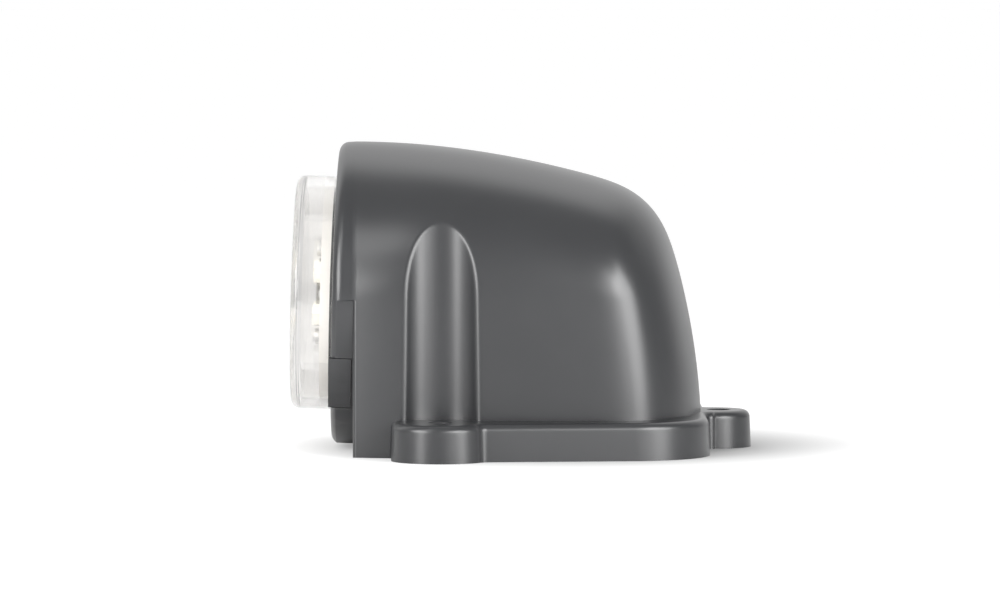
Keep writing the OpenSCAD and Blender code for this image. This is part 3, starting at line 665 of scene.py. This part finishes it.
BLACK_WEAR = (0.05, 0.05, 0.052)
RUBBER = ((0.018, 0.018, 0.018), (0.028, 0.028, 0.028))
BLACK = finish("black_hood_plastic", (0.021, 0.0217, 0.0234), (0.026, 0.0267, 0.0286), (0.28, 0.33),
               bump=0.2, dust=0.003, speck=(0.3, 0.3, 0.29), wear=BLACK_WEAR, ior=1.6)
FINISHES = {
    "lens": clear_cap(),
    "lens_seal": finish("seal_rubber", *RUBBER, (0.6, 0.8), bump=0.2),
    "insert_body": finish("insert_plastic", (0.026, 0.027, 0.029), (0.034, 0.035, 0.037), (0.34, 0.46),
                          bump=0.15, dust=0.01, wear=BLACK_WEAR),
    "insert_oring": finish("ring_rubber", *RUBBER, (0.5, 0.7), bump=0.2),
    "reflector": finish("white_plate", (0.83, 0.825, 0.81), (0.88, 0.875, 0.86), (0.28, 0.4),
                        bump=0.05, grain=1200.0),
    "board": finish("white_laminate", (0.74, 0.74, 0.71), (0.81, 0.81, 0.78), (0.3, 0.45), grain=1800.0),
    "board_screws": finish("plated_steel", (0.55, 0.56, 0.57), (0.66, 0.66, 0.67), (0.28, 0.4), metal=1.0,
                           wear=(0.8, 0.8, 0.8)),
    "leds": finish("diode_case", (0.82, 0.80, 0.74), (0.88, 0.86, 0.80), (0.3, 0.42), bump=0.05),
    "led_windows": finish("diode_window", (0.80, 0.56, 0.06), (0.88, 0.68, 0.14), (0.28, 0.38), bump=0.05),
    "driver_chip": finish("chip_plastic", (0.13, 0.128, 0.12), (0.18, 0.178, 0.17), (0.45, 0.6)),
    "capacitor": finish("can_plastic", (0.06, 0.06, 0.065), (0.09, 0.09, 0.095), (0.35, 0.5)),
    "resistors": finish("resistor_glaze", (0.05, 0.048, 0.045), (0.09, 0.085, 0.08), (0.3, 0.5)),
    "solder_joints": finish("solder_metal", (0.6, 0.61, 0.62), (0.72, 0.72, 0.73), (0.28, 0.4), metal=1.0),
    "lead_positive": finish("red_sheath", (0.42, 0.03, 0.02), (0.5, 0.05, 0.035), (0.3, 0.45)),
    "lead_negative": finish("black_sheath", (0.02, 0.02, 0.022), (0.03, 0.03, 0.032), (0.3, 0.45)),
    "blade_positive": finish("brass_sheet", (0.66, 0.47, 0.19), (0.76, 0.56, 0.24), (0.28, 0.4), metal=1.0),
    "blade_rivets": finish("rivet_metal", (0.52, 0.52, 0.52), (0.62, 0.62, 0.62), (0.3, 0.45), metal=1.0),
}
FINISHES["blade_negative"] = FINISHES["blade_positive"]


def dress(obj, material):
    obj.data.materials.clear()
    obj.data.materials.append(material)


for node, material in FINISHES.items():
    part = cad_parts[node]
    for slot in part.material_slots:
        slot.material = material

hood = build_housing()
dress(hood, BLACK)
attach(hood, "root")
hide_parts("housing")


# Floor, world, lamps and camera, in metres
def white_floor():
    """White floor that keeps the shadow; for the camera it glows, more so away from the marker lamp, so the
    floor near the lamp is darker: a painted shadow around it, on top of the real one.
    """
    mat, tree, shader = new_material("white_floor")
    shader.inputs["Base Color"].default_value = (0.86, 0.86, 0.86, 1)
    shader.inputs["Roughness"].default_value = 0.9
    shader.inputs["Specular IOR Level"].default_value = 0.0
    matt = add_node(tree, "BsdfDiffuse", {"Color": (0.43, 0.43, 0.43, 1)})
    spot = add_node(tree, "TexCoord").outputs["Object"]
    away = add_node(tree, "VectorMath", {0: spot, 1: (0.03, 0, 0)}, operation="DISTANCE").outputs["Value"]
    # Painted shadow: the glow is zero within 30 mm of this point under the lamp and full beyond 67 mm, so the
    # camera sees a darker floor around the lamp
    rise = add_node(tree, "MapRange", {"Value": away, "From Min": 0.03, "From Max": 0.067, "To Max": 0.66})
    floor_glow_with_painted_shadow = add_node(tree, "Emission", {"Color": (1, 1, 1, 1), "Strength": rise.outputs[0]})
    camera_ray = add_node(tree, "LightPath").outputs["Is Camera Ray"]
    seen = add_node(tree, "AddShader", {0: matt.outputs[0], 1: floor_glow_with_painted_shadow.outputs[0]})
    out = tree.nodes["Material Output"]
    tree.links.new(blend_shaders(tree, camera_ray, shader, seen), out.inputs["Surface"])
    return mat


def build_floor():
    mesh = bpy.data.meshes.new("floor")
    far = 30
    mesh.from_pydata([(-far, -far, 0), (far, -far, 0), (far, far, 0), (-far, far, 0)], [], [(0, 1, 2, 3)])
    obj = place("floor", mesh)
    dress(obj, white_floor())


def build_world():
    """White background for the camera, and for the rest a dimmer room with light behind and above."""
    world = bpy.data.worlds.new("studio")
    bpy.context.scene.world = world
    world.use_nodes = True
    tree = world.node_tree
    tree.nodes.clear()
    path = add_node(tree, "LightPath").outputs
    ray = add_node(tree, "TexCoord").outputs["Generated"]
    split = add_node(tree, "SeparateXYZ", {0: ray}).outputs
    # The room itself, darker towards +X, and white far behind the lamp
    side = ramp(tree, split["X"], 0.2, 0.9, 0.48, 0.3)
    back = ramp(tree, split["Y"], 0.45, 0.98)
    # A brighter sky above and behind, weaker towards +X
    above = ramp(tree, split["Z"], 0.0, 0.5, 0.0, 2.0)
    behind = ramp(tree, split["Y"], 0.0, 0.5)
    left = ramp(tree, split["X"], 0.1, 0.65, 1.0, 0.35)
    sky = calc(tree, "MULTIPLY", calc(tree, "MULTIPLY", above, behind), left)
    strength = calc(tree, "MAXIMUM", calc(tree, "MAXIMUM", side, sky), back)
    # White as the background for the camera and through the cap, and in reflections of what lies behind
    mirrored = calc(tree, "MULTIPLY", path["Is Glossy Ray"], back)
    direct = calc(tree, "MAXIMUM", path["Is Camera Ray"], path["Is Transmission Ray"])
    seen = calc(tree, "MAXIMUM", direct, mirrored)
    room = add_node(tree, "Background", {"Color": (1, 1, 1, 1), "Strength": strength})
    white = add_node(tree, "Background", {"Color": (1, 1, 1, 1), "Strength": 1.0})
    out = tree.nodes.new("ShaderNodeOutputWorld")
    tree.links.new(blend_shaders(tree, seen, room, white), out.inputs["Surface"])


def softbox(name, angle, rise, distance, width, height, radiance):
    """Area lamp at an angle from the camera's side, towards +X, and a rise above the floor."""
    lamp = bpy.data.lights.new(name, "AREA")
    lamp.shape = "RECTANGLE"
    lamp.size = width
    lamp.size_y = height
    lamp.energy = radiance * math.pi * width * height
    obj = place(name, lamp)
    a, e = math.radians(angle), math.radians(rise)
    aim = Vector((0.015, 0, 0.03))
    away = Vector((math.sin(a) * math.cos(e), -math.cos(a) * math.cos(e), math.sin(e)))
    obj.location = aim + distance * away
    obj.rotation_euler = (aim - obj.location).to_track_quat("-Z", "Z").to_euler()


def build_camera():
    lens = bpy.data.cameras.new("camera")
    lens.lens = 216
    lens.sensor_width = 36
    lens.clip_end = 100
    obj = place("camera", lens)
    obj.location = (0.0169, -1.272, 0.0965)
    aim = Vector((0.01219, 0, 0.03104))
    obj.rotation_euler = (aim - obj.location).to_track_quat("-Z", "Y").to_euler()
    bpy.context.scene.camera = obj


# Angle and rise in degrees, distance, width, height and brightness of each lamp
LAMPS = {
    "left_box": (-47, 13.7, 0.38, 0.17, 0.24, 8.5),
    "right_box": (46, 11.5, 0.38, 0.24, 0.20, 8.5),
    "left_fill": (-34, 38, 0.42, 0.14, 0.14, 3.2),
    "right_fill": (24, 14, 0.42, 0.18, 0.20, 4.2),
}

build_floor()
build_world()
build_camera()
for name, setting in LAMPS.items():
    softbox(name, *setting)
bpy.context.scene.view_settings.view_transform = "Standard"
